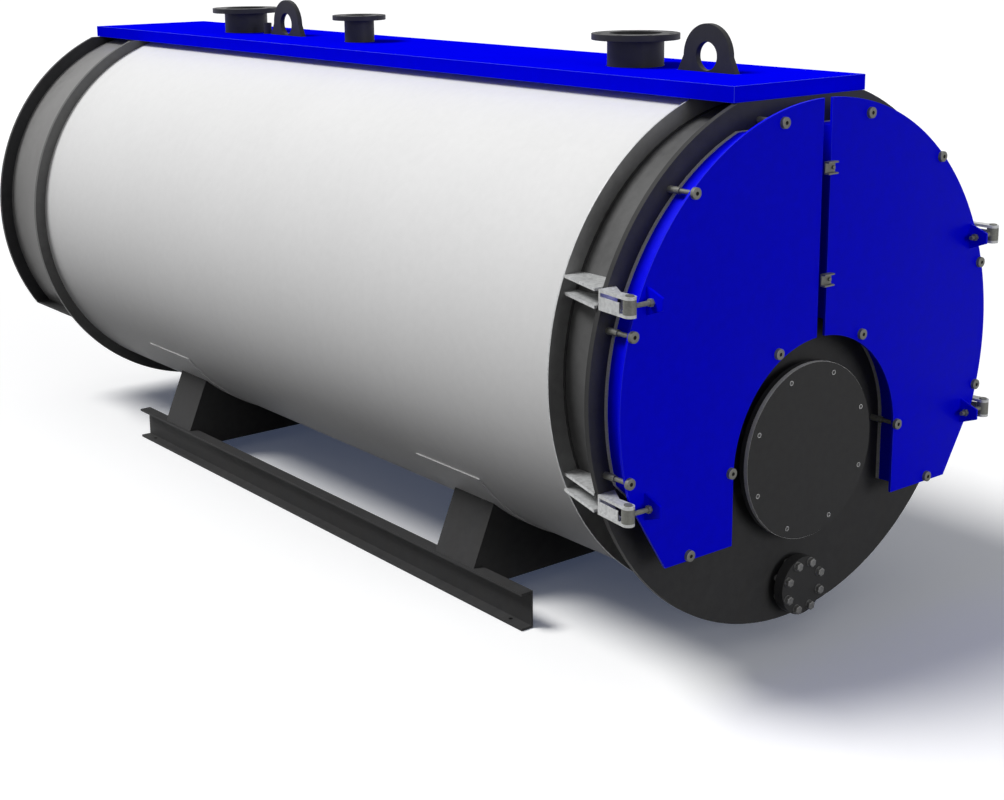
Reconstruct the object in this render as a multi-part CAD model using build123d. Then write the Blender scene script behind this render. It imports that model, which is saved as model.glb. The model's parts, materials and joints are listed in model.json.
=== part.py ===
from build123d import *
import os
from math import cos, radians, sin, sqrt

# A horizontal fire-tube boiler. Sizes are in millimetres. While it is modelled, X is to the right seen from
# the front, Y runs to the rear from the front ring's face, and Z is measured up from the drum's axis.

# Fits
FIT = 0.3
RUNNING_FIT = 0.05
CUT_OUT = 3.0

# Drum, insulation and cladding
DRUM_CLEARANCE = 155.0
SHELL_RADIUS = 880.0
SHELL_WALL = 14.0
INSULATION = 50.0
CLADDING_SHEET = 2.0
RING_LIP = 18.0
RING_THICK = 6.0
BODY_LENGTH = 4147.0
FRONT_REACH = 240.0
PLATE_LIP = 104.0
PLATE_DROP = 25.0
PLATE_THICK = 20.0

# Rear smoke box
BOX_INSET = 60.0
BOX_WALL = 6.0
BOX_DEPTH = 444.0
BOX_FLOOR_DROP = 540.0
BOX_FLOOR_PLATE = 10.0
REAR_FLANGE_THICK = 20.0
REAR_FLANGE_SILL = 40.0
COVER_INSET = 24.0
COVER_THICK = 12.0
FLUE_RADIUS = 200.0
FLUE_WALL = 5.0
FLUE_LENGTH = 120.0
FLUE_RISE = 250.0

# Top deck, an inverted tray
DECK_HALF_WIDTH = 335.0
DECK_RISE = 11.0
DECK_RIM = 56.0
DECK_SHEET = 5.0
DECK_SETBACK = 8.0
DECK_OVERHANG = 25.0

# Nozzles on top
NOZZLE_RISE = 124.0
FRONT_NOZZLE_Y = 608.0
REAR_NOZZLE_FROM_REAR = 569.0
MAIN_NECK_RADIUS = 109.5
MAIN_NECK_WALL = 8.0
MAIN_FLANGE_RADIUS = 170.0
MAIN_FLANGE_THICK = 24.0
MAIN_BOLT_CIRCLE = 295.0
MAIN_BOLT_HOLE = 11.0
SAFETY_NOZZLE_FROM_REAR = 1633.0
SAFETY_NECK_RADIUS = 69.85
SAFETY_NECK_WALL = 6.0
SAFETY_FLANGE_RADIUS = 125.0
SAFETY_FLANGE_THICK = 22.0
SAFETY_BOLT_CIRCLE = 210.0
SAFETY_BOLT_HOLE = 9.0
FLANGE_BOLTS = 8
POCKET_FROM_REAR = 787.0
POCKET_RADIUS = 20.0
POCKET_BORE = 10.5
POCKET_RISE = 55.0

# Lifting lugs
LUG_THICK = 25.0
LUG_ARCH = 118.0
LUG_HOLE = 52.0
LUG_HOLE_RISE = 57.0
LUG_HALF_BASE = 147.0
FRONT_LUG_Y = 219.0
REAR_LUG_FROM_REAR = 987.0

# Skids and saddles
SKID_OUTER = 745.0
SKID_HEIGHT = 149.0
SKID_WIDTH = 55.0
SKID_WEB = 8.0
SKID_FLANGE = 10.0
SKID_FRONT = 405.0
SKID_FROM_REAR = 605.0
ANCHOR_END = 100.0
ANCHOR_EDGE = 28.0
ANCHOR_HOLE = 9.0
FRONT_SADDLE_Y = 841.0
REAR_SADDLE_FROM_REAR = 995.0
SADDLE_WIDTH = 250.0
SADDLE_PLATE = 10.0
SADDLE_HANG = 88.0
LEG_INSET = 14.0
LEG_LEAN = 23.0
PAD_LENGTH = 410.0
PAD_THICK = 5.0
PAD_ANGLE = 54.3

# Burner opening and its blank plate
BURNER_CLEARANCE = 85.0
BURNER_NECK_RADIUS = 270.0
BURNER_NECK_WALL = 10.0
BURNER_NECK_LENGTH = 46.0
BURNER_FLANGE_RADIUS = 325.0
BURNER_FLANGE_THICK = 19.0
BURNER_PLATE_THICK = 19.0
BURNER_BOLT_CIRCLE = 583.0
BURNER_BOLT_HOLE = 9.0

# Drain with its blind flange
DRAIN_UP = 112.0
DRAIN_NECK_RADIUS = 57.15
DRAIN_NECK_WALL = 5.0
DRAIN_NECK_LENGTH = 29.0
DRAIN_FLANGE_RADIUS = 110.0
DRAIN_FLANGE_THICK = 20.0
DRAIN_BOLT_CIRCLE = 180.0
DRAIN_BOLT_HOLE = 9.0

# Doors: the panel's outline is an arc about a point on the middle plane, cut by an arch over the burner
DOOR_DROP = 40.0
DOOR_STANDOFF = 103.0
PANEL_MARGIN = 34.0
PANEL_THICK = 10.0
ARCH_MARGIN = 101.0
PANEL_HALF_GAP = 21.0
CHAMFER_START = 18.1
CHAMFER_END = 36.04
CORNER_IN = 25.0
SEAL_INSET = 35.0
SEAL_ARCH_INSET = 52.0
SEAL_GAP_INSET = 21.0
SEAL_BOTTOM_INSET = 15.0
SEAL_FOOT_SHARE = 0.415
SEAL_CHAMFER = 17.0
SEAL_TOP_DROP = 98.0
SEAL_WIDTH = 22.0
SEAL_THICK = 14.0
RIM_LAP = 20.0
RIM_SHEET = 6.0
LINING_RECESS = 2.0

# Door bolts: angles about the door's arc and about the burner, and how far they stand from the panel's edges
EDGE_BOLT_ANGLES = (47.4, 16.1, -13.9)
EDGE_BOLT_IN = 13.0
TOP_BOLT_ANGLE = 75.9
TOP_BOLT_IN = 41.0
ARCH_BOLT_ANGLE = 61.4
ARCH_BOLT_IN = 30.0
SIDE_BOLT_ANGLE = 2.5
SIDE_BOLT_IN = 14.5
CORNER_BOLT_SHARE = 0.589
CORNER_BOLT_UP = 19.0
BOLT_RADIUS = 8.0
BOLT_HOLE_GAP = 1.0
BOLT_NUB = 6.0
WASHER_RADIUS = 20.0
WASHER_THICK = 5.0
SLEEVE_RADIUS = 12.0
SLEEVE_LENGTH = 50.0

# Hinges
PIN_IN = 13.0
PIN_FORWARD = 27.0
PIN_RADIUS = 10.0
PIN_HEAD = 4.0
UPPER_HINGE = 368.0
LOWER_HINGE = 319.0
CHEEK_GAP = 48.0
CHEEK_THICK = 10.0
NOSE_RADIUS = 22.0
BRACKET_OUTER = 5.0
BRACKET_INNER = 69.0
BRACKET_BACK = 8.0
CHEEK_TAPER = 75.0
GUSSET_SETBACK = 57.0
EYE_ROD_RADIUS = 8.0
EYE_ROD_END = 30.0
EYE_NUT_FLATS = 24.0
EYE_NUT_THICK = 13.0
DOOR_LUG_SPAN = 96.0
DOOR_LUG_THICK = 10.0
DOOR_LUG_ROOT = 95.0
DOOR_LUG_TIP = 40.0
DOOR_LUG_REACH = 74.0

# Clips that stand on the right door across the gap between the doors
CLIP_HEIGHTS = (710.0, 317.0)
CLIP_LENGTH = 51.0
CLIP_TALL = 45.0
CLIP_SHEET = 6.0
CLIP_DEPTH = 22.0
CLIP_CLEAR = 8.0

# Worked-out places
plate_face = -FRONT_REACH
plate_back = plate_face + PLATE_THICK
cladding_radius = SHELL_RADIUS + INSULATION + CLADDING_SHEET
ring_radius = cladding_radius + RING_LIP
axis_height = cladding_radius + DRUM_CLEARANCE
plate_radius = SHELL_RADIUS + PLATE_LIP
box_radius = plate_radius - BOX_INSET
deck_top = ring_radius + DECK_RISE
nozzle_top = deck_top + NOZZLE_RISE
drain_drop = plate_radius - DRAIN_UP
burner_drop = drain_drop - DRAIN_FLANGE_RADIUS - BURNER_FLANGE_RADIUS - BURNER_CLEARANCE
rear_nozzle_y = BODY_LENGTH - REAR_NOZZLE_FROM_REAR
safety_nozzle_y = BODY_LENGTH - SAFETY_NOZZLE_FROM_REAR
pocket_y = BODY_LENGTH - POCKET_FROM_REAR
rear_lug_y = BODY_LENGTH - REAR_LUG_FROM_REAR
rear_saddle_y = BODY_LENGTH - REAR_SADDLE_FROM_REAR
skid_rear = BODY_LENGTH - SKID_FROM_REAR
rear_plate_back = BODY_LENGTH + PLATE_THICK
rear_flange_face = rear_plate_back + BOX_DEPTH
rear_flange_back = rear_flange_face + REAR_FLANGE_THICK
cover_back = rear_flange_back + COVER_THICK
flue_end = cover_back + FLUE_LENGTH
deck_front = plate_face + DECK_SETBACK
deck_rear = cover_back + DECK_OVERHANG
deck_seat = deck_top - DECK_RIM
panel_radius = plate_radius - PANEL_MARGIN
panel_arch = BURNER_FLANGE_RADIUS + ARCH_MARGIN
panel_corner = panel_radius * cos(radians(CHAMFER_END)) - CORNER_IN
foot_inner = panel_arch + SEAL_ARCH_INSET
foot_width = panel_corner - foot_inner
panel_bottom = DOOR_DROP + panel_radius * sin(radians(CHAMFER_END))
panel_back = plate_face - DOOR_STANDOFF
panel_face = panel_back - PANEL_THICK
door_lug_tip = panel_face - DOOR_LUG_REACH
pin_x = panel_radius - PIN_IN
pin_y = panel_face - PIN_FORWARD
hinge_heights = (UPPER_HINGE - DOOR_DROP, -LOWER_HINGE - DOOR_DROP)
skid_top = SKID_HEIGHT - axis_height
skid_bottom = -axis_height
pad_radius = cladding_radius + FIT + PAD_THICK
middle_y = (door_lug_tip + flue_end) / 2


def block(x0, x1, y0, y1, z0, z1):
    """A box between two corners."""
    middle = Pos((x0 + x1) / 2, (y0 + y1) / 2, (z0 + z1) / 2)
    return middle * Box(x1 - x0, y1 - y0, z1 - z0)


def drum(radius, y0, y1, x=0.0, z=0.0):
    """A round bar along the boiler."""
    return Pos(x, (y0 + y1) / 2, z) * Rot(90, 0, 0) * Cylinder(radius, y1 - y0)


def tube(outer, inner, y0, y1, x=0.0, z=0.0):
    """A round tube along the boiler."""
    return drum(outer, y0, y1, x, z) - drum(inner, y0, y1, x, z)


def post(radius, z0, z1, x=0.0, y=0.0):
    """An upright round bar."""
    return Pos(x, y, (z0 + z1) / 2) * Cylinder(radius, z1 - z0)


def front_plate_of(face, y0, y1):
    """A plate whose outline is drawn as seen from the front, between two depths."""
    return Pos(0, y1, 0) * extrude(Plane.XZ * face, amount=y1 - y0)


def flat_plate_of(points, z0, z1):
    """A level plate whose outline is drawn as seen from above."""
    return Pos(0, 0, z0) * extrude(make_face(Polyline(*points, close=True)), amount=z1 - z0)


def on_circle(radius, angle, z=0.0):
    """A point on a circle about the middle plane, as seen from the front."""
    return (radius * cos(radians(angle)), z + radius * sin(radians(angle)))


def both_sides(shape):
    """A piece and its mirror image on the other side."""
    return shape + mirror(shape, about=Plane.YZ)


def other_side(shape):
    """A piece's mirror image."""
    return mirror(shape, about=Plane.YZ)


def bolt_ring(radius, circle, count, y0, y1, z):
    """Holes on a bolt circle through a front flange, straddling its centre lines."""
    start = 180.0 / count
    holes = [on_circle(circle / 2, start + 360.0 * i / count, z) for i in range(count)]
    return [drum(radius, y0, y1, hx, hz) for hx, hz in holes]


def deck_cut():
    """What is cut off the top of an end plate, to leave a level seat for the deck."""
    return block(
        -plate_radius,
        plate_radius,
        deck_front - FRONT_REACH,
        flue_end,
        deck_seat,
        deck_top + plate_radius,
    )


# Body

def nozzle_columns(extra):
    """Upright columns round the nozzles, the pocket and the lugs, for what they pass through."""
    low = SHELL_RADIUS - 2 * MAIN_NECK_RADIUS
    places = (
        (FRONT_NOZZLE_Y, MAIN_NECK_RADIUS),
        (rear_nozzle_y, MAIN_NECK_RADIUS),
        (safety_nozzle_y, SAFETY_NECK_RADIUS),
        (pocket_y, POCKET_RADIUS),
    )
    columns = [post(radius + extra, low, nozzle_top, 0, y) for y, radius in places]
    half = LUG_THICK / 2 + extra
    reach = LUG_HALF_BASE + extra
    for y in (FRONT_LUG_Y, rear_lug_y):
        columns.append(block(-half, half, y - reach, y + reach, low, nozzle_top))
    return columns


def pressure_shell():
    shell = tube(SHELL_RADIUS, SHELL_RADIUS - SHELL_WALL, plate_back, BODY_LENGTH)
    low = SHELL_RADIUS - 2 * MAIN_NECK_RADIUS
    bores = (
        (FRONT_NOZZLE_Y, MAIN_NECK_RADIUS - MAIN_NECK_WALL),
        (rear_nozzle_y, MAIN_NECK_RADIUS - MAIN_NECK_WALL),
        (safety_nozzle_y, SAFETY_NECK_RADIUS - SAFETY_NECK_WALL),
        (pocket_y, POCKET_BORE),
    )
    return shell - [post(radius, low, nozzle_top, 0, y) for y, radius in bores]


def insulation():
    outer = SHELL_RADIUS + INSULATION - FIT
    wrap = tube(outer, SHELL_RADIUS + FIT, RING_THICK, BODY_LENGTH)
    return wrap - nozzle_columns(CUT_OUT)


def cladding_sheet():
    sheet = tube(cladding_radius, cladding_radius - CLADDING_SHEET, RING_THICK, BODY_LENGTH)
    return sheet - nozzle_columns(CUT_OUT)


def front_ring():
    return tube(ring_radius, SHELL_RADIUS + FIT, 0, RING_THICK)


def front_plate():
    plate = drum(plate_radius, plate_face, plate_back, 0, -PLATE_DROP) - deck_cut()
    plate -= drum(BURNER_NECK_RADIUS - BURNER_NECK_WALL, plate_face, plate_back, 0, -burner_drop)
    return plate - drum(DRAIN_NECK_RADIUS - DRAIN_NECK_WALL, plate_face, plate_back, 0, -drain_drop)


def rear_tube_plate():
    return drum(plate_radius, BODY_LENGTH, rear_plate_back) - deck_cut()


def below(drop, y0, y1):
    """Everything lower than a level under the axis, between two depths."""
    return block(-plate_radius, plate_radius, y0, y1, -2 * plate_radius, -drop)


def smoke_box():
    box = tube(box_radius, box_radius - BOX_WALL, rear_plate_back, rear_flange_face)
    return box - below(BOX_FLOOR_DROP, rear_plate_back, rear_flange_face)


def smoke_box_floor():
    half = sqrt(plate_radius**2 - (BOX_FLOOR_DROP + BOX_FLOOR_PLATE) ** 2)
    top = -BOX_FLOOR_DROP
    return block(-half, half, rear_plate_back, rear_flange_face, top - BOX_FLOOR_PLATE, top)


def rear_flange():
    flange = drum(plate_radius, rear_flange_face, rear_flange_back)
    flange -= below(BOX_FLOOR_DROP + BOX_FLOOR_PLATE, rear_flange_face, rear_flange_back)
    mouth = drum(box_radius - BOX_WALL, rear_flange_face, rear_flange_back)
    mouth -= below(BOX_FLOOR_DROP - REAR_FLANGE_SILL, rear_flange_face, rear_flange_back)
    mouth -= deck_cut()
    return flange - mouth - deck_cut()


def rear_cover():
    cover = drum(plate_radius - COVER_INSET, rear_flange_back, cover_back) - deck_cut()
    cover -= below(BOX_FLOOR_DROP + BOX_FLOOR_PLATE - COVER_INSET, rear_flange_back, cover_back)
    return cover - drum(FLUE_RADIUS - FLUE_WALL, rear_flange_back, cover_back, 0, FLUE_RISE)


def flue_collar():
    return tube(FLUE_RADIUS, FLUE_RADIUS - FLUE_WALL, cover_back, flue_end, 0, FLUE_RISE)


def top_deck():
    tray = block(-DECK_HALF_WIDTH, DECK_HALF_WIDTH, deck_front, deck_rear, deck_seat, deck_top)
    inner = DECK_HALF_WIDTH - DECK_SHEET
    under = deck_top - DECK_SHEET
    tray -= block(-inner, inner, deck_front + DECK_SHEET, deck_rear - DECK_SHEET, deck_seat, under)
    return tray - nozzle_columns(CUT_OUT)


# Top fittings

def nozzle(y, neck, wall, flange, thick, circle, hole):
    """A pipe stub on the shell with a bolting flange."""
    low = SHELL_RADIUS - 2 * neck
    stub = post(neck, low, nozzle_top, 0, y) + post(flange, nozzle_top - thick, nozzle_top, 0, y)
    stub -= drum(SHELL_RADIUS + FIT, y - flange, y + flange)
    stub -= post(neck - wall, low, nozzle_top, 0, y)
    for spot in PolarLocations(circle / 2, FLANGE_BOLTS, 180.0 / FLANGE_BOLTS):
        stub -= Pos(0, y, nozzle_top - thick / 2) * spot * Cylinder(hole, thick)
    return stub


def main_nozzle(y):
    return nozzle(
        y,
        MAIN_NECK_RADIUS,
        MAIN_NECK_WALL,
        MAIN_FLANGE_RADIUS,
        MAIN_FLANGE_THICK,
        MAIN_BOLT_CIRCLE,
        MAIN_BOLT_HOLE,
    )


def safety_nozzle():
    return nozzle(
        safety_nozzle_y,
        SAFETY_NECK_RADIUS,
        SAFETY_NECK_WALL,
        SAFETY_FLANGE_RADIUS,
        SAFETY_FLANGE_THICK,
        SAFETY_BOLT_CIRCLE,
        SAFETY_BOLT_HOLE,
    )


def sensor_pocket():
    low = SHELL_RADIUS - 2 * POCKET_RADIUS
    top = deck_top + POCKET_RISE
    pocket = post(POCKET_RADIUS, low, top, 0, pocket_y)
    pocket -= drum(SHELL_RADIUS + FIT, pocket_y - LUG_ARCH, pocket_y + LUG_ARCH)
    return pocket - post(POCKET_BORE, low, top, 0, pocket_y)


def lifting_lug(y):
    """An arched plate on the shell, standing up through the deck."""
    centre = deck_top + LUG_HOLE_RISE
    foot = SHELL_RADIUS + FIT
    outline = Polyline(
        (y - LUG_HALF_BASE, foot),
        (y - LUG_HALF_BASE, deck_top),
        (y - LUG_ARCH, centre),
        (y + LUG_ARCH, centre),
        (y + LUG_HALF_BASE, deck_top),
        (y + LUG_HALF_BASE, foot),
        close=True,
    )
    face = make_face(outline) + Pos(y, centre) * Circle(LUG_ARCH) - Pos(y, centre) * Circle(LUG_HOLE)
    return extrude(Plane.YZ * face, amount=LUG_THICK / 2, both=True)


# Base

def right_skid():
    inner = SKID_OUTER - SKID_WIDTH
    rail = block(inner, SKID_OUTER, SKID_FRONT, skid_rear, skid_bottom, skid_top)
    low = skid_bottom + SKID_FLANGE
    high = skid_top - SKID_FLANGE
    rail -= block(inner + SKID_WEB, SKID_OUTER, SKID_FRONT, skid_rear, low, high)
    x = SKID_OUTER - ANCHOR_EDGE
    ends = (SKID_FRONT + ANCHOR_END, skid_rear - ANCHOR_END)
    return rail - [post(ANCHOR_HOLE, skid_bottom, low, x, y) for y in ends]


def saddle(y):
    """Two leaning legs on the skids, and two webs between them cut to the drum's round."""
    front = y - SADDLE_WIDTH / 2
    back = y + SADDLE_WIDTH / 2
    rise = -skid_top
    lean = rise * sin(radians(LEG_LEAN)) / cos(radians(LEG_LEAN))
    foot = SKID_OUTER - LEG_INSET
    plate = SADDLE_PLATE / cos(radians(LEG_LEAN))
    inner = SKID_OUTER - SKID_WIDTH
    low = skid_top - SADDLE_HANG
    leg = make_face(
        Polyline(
            (foot - plate, skid_top),
            (foot, skid_top),
            (foot - lean, 0),
            (foot - lean - plate, 0),
            close=True,
        )
    )
    web = make_face(
        Polyline(
            (-inner, low),
            (inner, low),
            (inner, skid_top),
            (foot - plate, skid_top),
            (foot - plate - lean, 0),
            (plate + lean - foot, 0),
            (plate - foot, skid_top),
            (-inner, skid_top),
            close=True,
        )
    )
    body = both_sides(front_plate_of(leg, front, back))
    body += front_plate_of(web, front, front + SADDLE_PLATE)
    body += front_plate_of(web, back - SADDLE_PLATE, back)
    return body - drum(pad_radius + FIT, front, back)


def saddle_pad(y):
    """A curved plate under the cladding, over a saddle."""
    y0 = y - PAD_LENGTH / 2
    y1 = y + PAD_LENGTH / 2
    edge = pad_radius * cos(radians(PAD_ANGLE))
    pad = tube(pad_radius, cladding_radius + FIT, y0, y1)
    return pad & block(-pad_radius, pad_radius, y0, y1, -pad_radius, -edge)


# Front fittings

def front_neck(radius, wall, length, flange, thick, circle, hole, drop):
    """A short pipe on the front plate with a flange."""
    face = plate_face - length
    neck = drum(radius, face, plate_face, 0, -drop) + drum(flange, face - thick, face, 0, -drop)
    neck -= drum(radius - wall, face - thick, plate_face, 0, -drop)
    return neck - bolt_ring(hole, circle, FLANGE_BOLTS, face - thick, face, -drop)


def burner_neck():
    return front_neck(
        BURNER_NECK_RADIUS,
        BURNER_NECK_WALL,
        BURNER_NECK_LENGTH,
        BURNER_FLANGE_RADIUS,
        BURNER_FLANGE_THICK,
        BURNER_BOLT_CIRCLE,
        BURNER_BOLT_HOLE,
        burner_drop,
    )


def burner_plate():
    back = plate_face - BURNER_NECK_LENGTH - BURNER_FLANGE_THICK
    face = back - BURNER_PLATE_THICK
    plate = drum(BURNER_FLANGE_RADIUS, face, back, 0, -burner_drop)
    return plate - bolt_ring(BURNER_BOLT_HOLE, BURNER_BOLT_CIRCLE, FLANGE_BOLTS, face, back, -burner_drop)


def drain_neck():
    return front_neck(
        DRAIN_NECK_RADIUS,
        DRAIN_NECK_WALL,
        DRAIN_NECK_LENGTH,
        DRAIN_FLANGE_RADIUS,
        DRAIN_FLANGE_THICK,
        DRAIN_BOLT_CIRCLE,
        DRAIN_BOLT_HOLE,
        drain_drop,
    )


def drain_blind():
    back = plate_face - DRAIN_NECK_LENGTH - DRAIN_FLANGE_THICK
    face = back - DRAIN_FLANGE_THICK
    plate = drum(DRAIN_FLANGE_RADIUS, face, back, 0, -drain_drop)
    return plate - bolt_ring(DRAIN_BOLT_HOLE, DRAIN_BOLT_CIRCLE, FLANGE_BOLTS, face, back, -drain_drop)


# Doors, modelled on the right and mirrored to the left

def door_face(radius, arch, gap, bottom, corner, chamfer):
    """A door's outline: outer arc, slanting corner, level bottom, burner arch, straight middle edge."""
    arch_top = (gap, sqrt(arch**2 - gap**2) - burner_drop)
    arch_side = (arch, -burner_drop)
    chamfer_end = on_circle(radius, -chamfer, -DOOR_DROP)
    outer_top = (gap, sqrt(radius**2 - gap**2) - DOOR_DROP)
    edges = Curve() + [
        ThreePointArc(arch_top, on_circle(arch, 45.0, -burner_drop), arch_side),
        Polyline(arch_side, (arch, -bottom), (corner, -bottom), chamfer_end),
        ThreePointArc(chamfer_end, on_circle(radius, 30.0, -DOOR_DROP), outer_top),
        Line(outer_top, arch_top),
    ]
    return make_face(edges)


def seal_face():
    """The seal frame's outer outline, level at the top below the top bolt."""
    face = door_face(
        panel_radius - SEAL_INSET,
        foot_inner,
        PANEL_HALF_GAP + SEAL_GAP_INSET,
        panel_bottom - SEAL_BOTTOM_INSET,
        foot_inner + foot_width * SEAL_FOOT_SHARE,
        SEAL_CHAMFER,
    )
    top = panel_radius - DOOR_DROP - SEAL_TOP_DROP
    return face & Pos(panel_radius / 2, top - panel_radius) * Rectangle(2 * panel_radius, 2 * panel_radius)


def inside(face, inset):
    """An outline drawn in by an equal distance all round."""
    return offset(face, -inset, kind=Kind.INTERSECTION)


def door_bolt_places():
    """Where the door bolts stand, as seen from the front."""
    arc = panel_radius - EDGE_BOLT_IN
    places = [on_circle(panel_radius - TOP_BOLT_IN, TOP_BOLT_ANGLE, -DOOR_DROP)]
    places += [on_circle(arc, angle, -DOOR_DROP) for angle in EDGE_BOLT_ANGLES]
    places.append((foot_inner + foot_width * CORNER_BOLT_SHARE, CORNER_BOLT_UP - panel_bottom))
    places.append(on_circle(panel_arch + SIDE_BOLT_IN, SIDE_BOLT_ANGLE, -burner_drop))
    places.append(on_circle(panel_arch + ARCH_BOLT_IN, ARCH_BOLT_ANGLE, -burner_drop))
    return places


def seal_frame():
    outer = seal_face()
    return front_plate_of(outer - inside(outer, SEAL_WIDTH), plate_face - SEAL_THICK, plate_face)


def door_panel():
    outline = door_face(panel_radius, panel_arch, PANEL_HALF_GAP, panel_bottom, panel_corner, CHAMFER_START)
    holes = [drum(BOLT_RADIUS + BOLT_HOLE_GAP, panel_face, panel_back, x, z) for x, z in door_bolt_places()]
    return front_plate_of(outline, panel_face, panel_back) - holes


def door_rim():
    outer = inside(seal_face(), SEAL_WIDTH - RIM_LAP)
    return front_plate_of(outer - inside(outer, RIM_SHEET), panel_back, plate_face - SEAL_THICK - FIT)


def door_lining():
    fill = inside(seal_face(), SEAL_WIDTH - RIM_LAP + RIM_SHEET)
    return front_plate_of(fill, panel_back, plate_face - SEAL_THICK - FIT - LINING_RECESS)


def door_bolts():
    """Captive bolts: a rod to the sleeve on the front plate, and a washer on the panel."""
    rod_end = plate_face - SLEEVE_LENGTH - FIT
    washer = panel_face - WASHER_THICK
    bolts = []
    for x, z in door_bolt_places():
        rod = drum(BOLT_RADIUS, washer - BOLT_NUB, rod_end, x, z)
        bolts.append(rod + drum(WASHER_RADIUS, washer, panel_face, x, z))
    return Compound(bolts)


def stud_sleeves():
    face = plate_face - SLEEVE_LENGTH
    right = [drum(SLEEVE_RADIUS, face, plate_face, x, z) for x, z in door_bolt_places()]
    return Compound(right + [other_side(sleeve) for sleeve in right])


def door_lugs():
    """Plates on the panel that carry the eye bolts."""
    x0 = pin_x - DOOR_LUG_SPAN
    outline = Polyline(
        (panel_face, -DOOR_LUG_ROOT / 2),
        (panel_face, DOOR_LUG_ROOT / 2),
        (door_lug_tip, DOOR_LUG_TIP / 2),
        (door_lug_tip, -DOOR_LUG_TIP / 2),
        close=True,
    )
    face = make_face(outline) - Pos(pin_y, 0) * Circle(EYE_ROD_RADIUS + FIT)
    lug = Pos(x0, 0, 0) * extrude(Plane.YZ * face, amount=-DOOR_LUG_THICK)
    return Compound([Pos(0, 0, z) * lug for z in hinge_heights])


def eye_bolts():
    """Eyes on the hinge pins, with rods through the door lugs and a nut each side."""
    high = CHEEK_GAP / 2 - FIT
    lug_out = pin_x - DOOR_LUG_SPAN
    lug_in = lug_out - DOOR_LUG_THICK
    end = lug_in - EYE_ROD_END
    rod = Pos((end + pin_x) / 2, pin_y, 0) * Rot(0, 90, 0) * Cylinder(EYE_ROD_RADIUS, pin_x - end)
    nut = extrude(Plane.YZ * RegularPolygon(EYE_NUT_FLATS / 2, 6, major_radius=False), amount=EYE_NUT_THICK)
    bolt = rod + post(NOSE_RADIUS, -high, high, pin_x, pin_y)
    bolt += Pos(lug_out, pin_y, 0) * nut + Pos(lug_in - EYE_NUT_THICK, pin_y, 0) * nut
    bolt -= post(PIN_RADIUS + RUNNING_FIT, -high, high, pin_x, pin_y)
    return Compound([Pos(0, 0, z) * bolt for z in hinge_heights])


def hinge_brackets():
    """A back plate on the front plate with two cheeks that hold the pin."""
    outer = pin_x + BRACKET_OUTER
    inner = pin_x - BRACKET_INNER
    half = CHEEK_GAP / 2
    high = half + CHEEK_THICK
    outline = (
        (outer, plate_face),
        (inner, plate_face),
        (pin_x - NOSE_RADIUS, plate_face - CHEEK_TAPER),
        (pin_x - NOSE_RADIUS, pin_y),
        (pin_x + NOSE_RADIUS, pin_y),
    )
    cheek = flat_plate_of(outline, half, high) + post(NOSE_RADIUS, half, high, pin_x, pin_y)
    cheek -= post(PIN_RADIUS, half, high, pin_x, pin_y)
    bracket = cheek + mirror(cheek, about=Plane.XY)
    bracket += block(inner, outer, plate_face - BRACKET_BACK, plate_face, -half, half)
    right = [Pos(0, 0, z) * bracket for z in hinge_heights]
    return Compound(right + [other_side(piece) for piece in right])


def hinge_pins():
    high = CHEEK_GAP / 2 + CHEEK_THICK
    pin = post(PIN_RADIUS - FIT, -high, high, pin_x, pin_y)
    pin += post(PIN_RADIUS + PIN_HEAD, high, high + PIN_HEAD, pin_x, pin_y)
    right = [Pos(0, 0, z) * pin for z in hinge_heights]
    return Compound(right + [other_side(piece) for piece in right])


def hinge_gussets():
    """Level plates behind the front plate, in line with the hinge cheeks."""
    outer = pin_x + BRACKET_OUTER
    outline = ((0, 0), (pin_x - GUSSET_SETBACK, 0), (outer, plate_back), (0, plate_back))
    half = CHEEK_GAP / 2
    right = []
    for z in hinge_heights:
        for low in (z - half - CHEEK_THICK, z + half):
            plate = flat_plate_of(outline, low, low + CHEEK_THICK)
            right.append(plate - drum(SHELL_RADIUS + FIT, plate_back, 0))
    return Compound(right + [other_side(piece) for piece in right])


def door_clips():
    """Small channels fixed to the right panel, which reach across the gap to just short of the left one."""
    left = CLIP_CLEAR - PANEL_HALF_GAP
    half = CLIP_TALL / 2
    channel = block(left, left + CLIP_LENGTH, panel_face - CLIP_DEPTH, panel_face, -half, half)
    channel -= block(
        left,
        left + CLIP_LENGTH,
        panel_face - CLIP_DEPTH,
        panel_face - CLIP_SHEET,
        CLIP_SHEET - half,
        half - CLIP_SHEET,
    )
    return Compound([Pos(0, 0, z - DOOR_DROP) * channel for z in CLIP_HEIGHTS])


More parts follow.
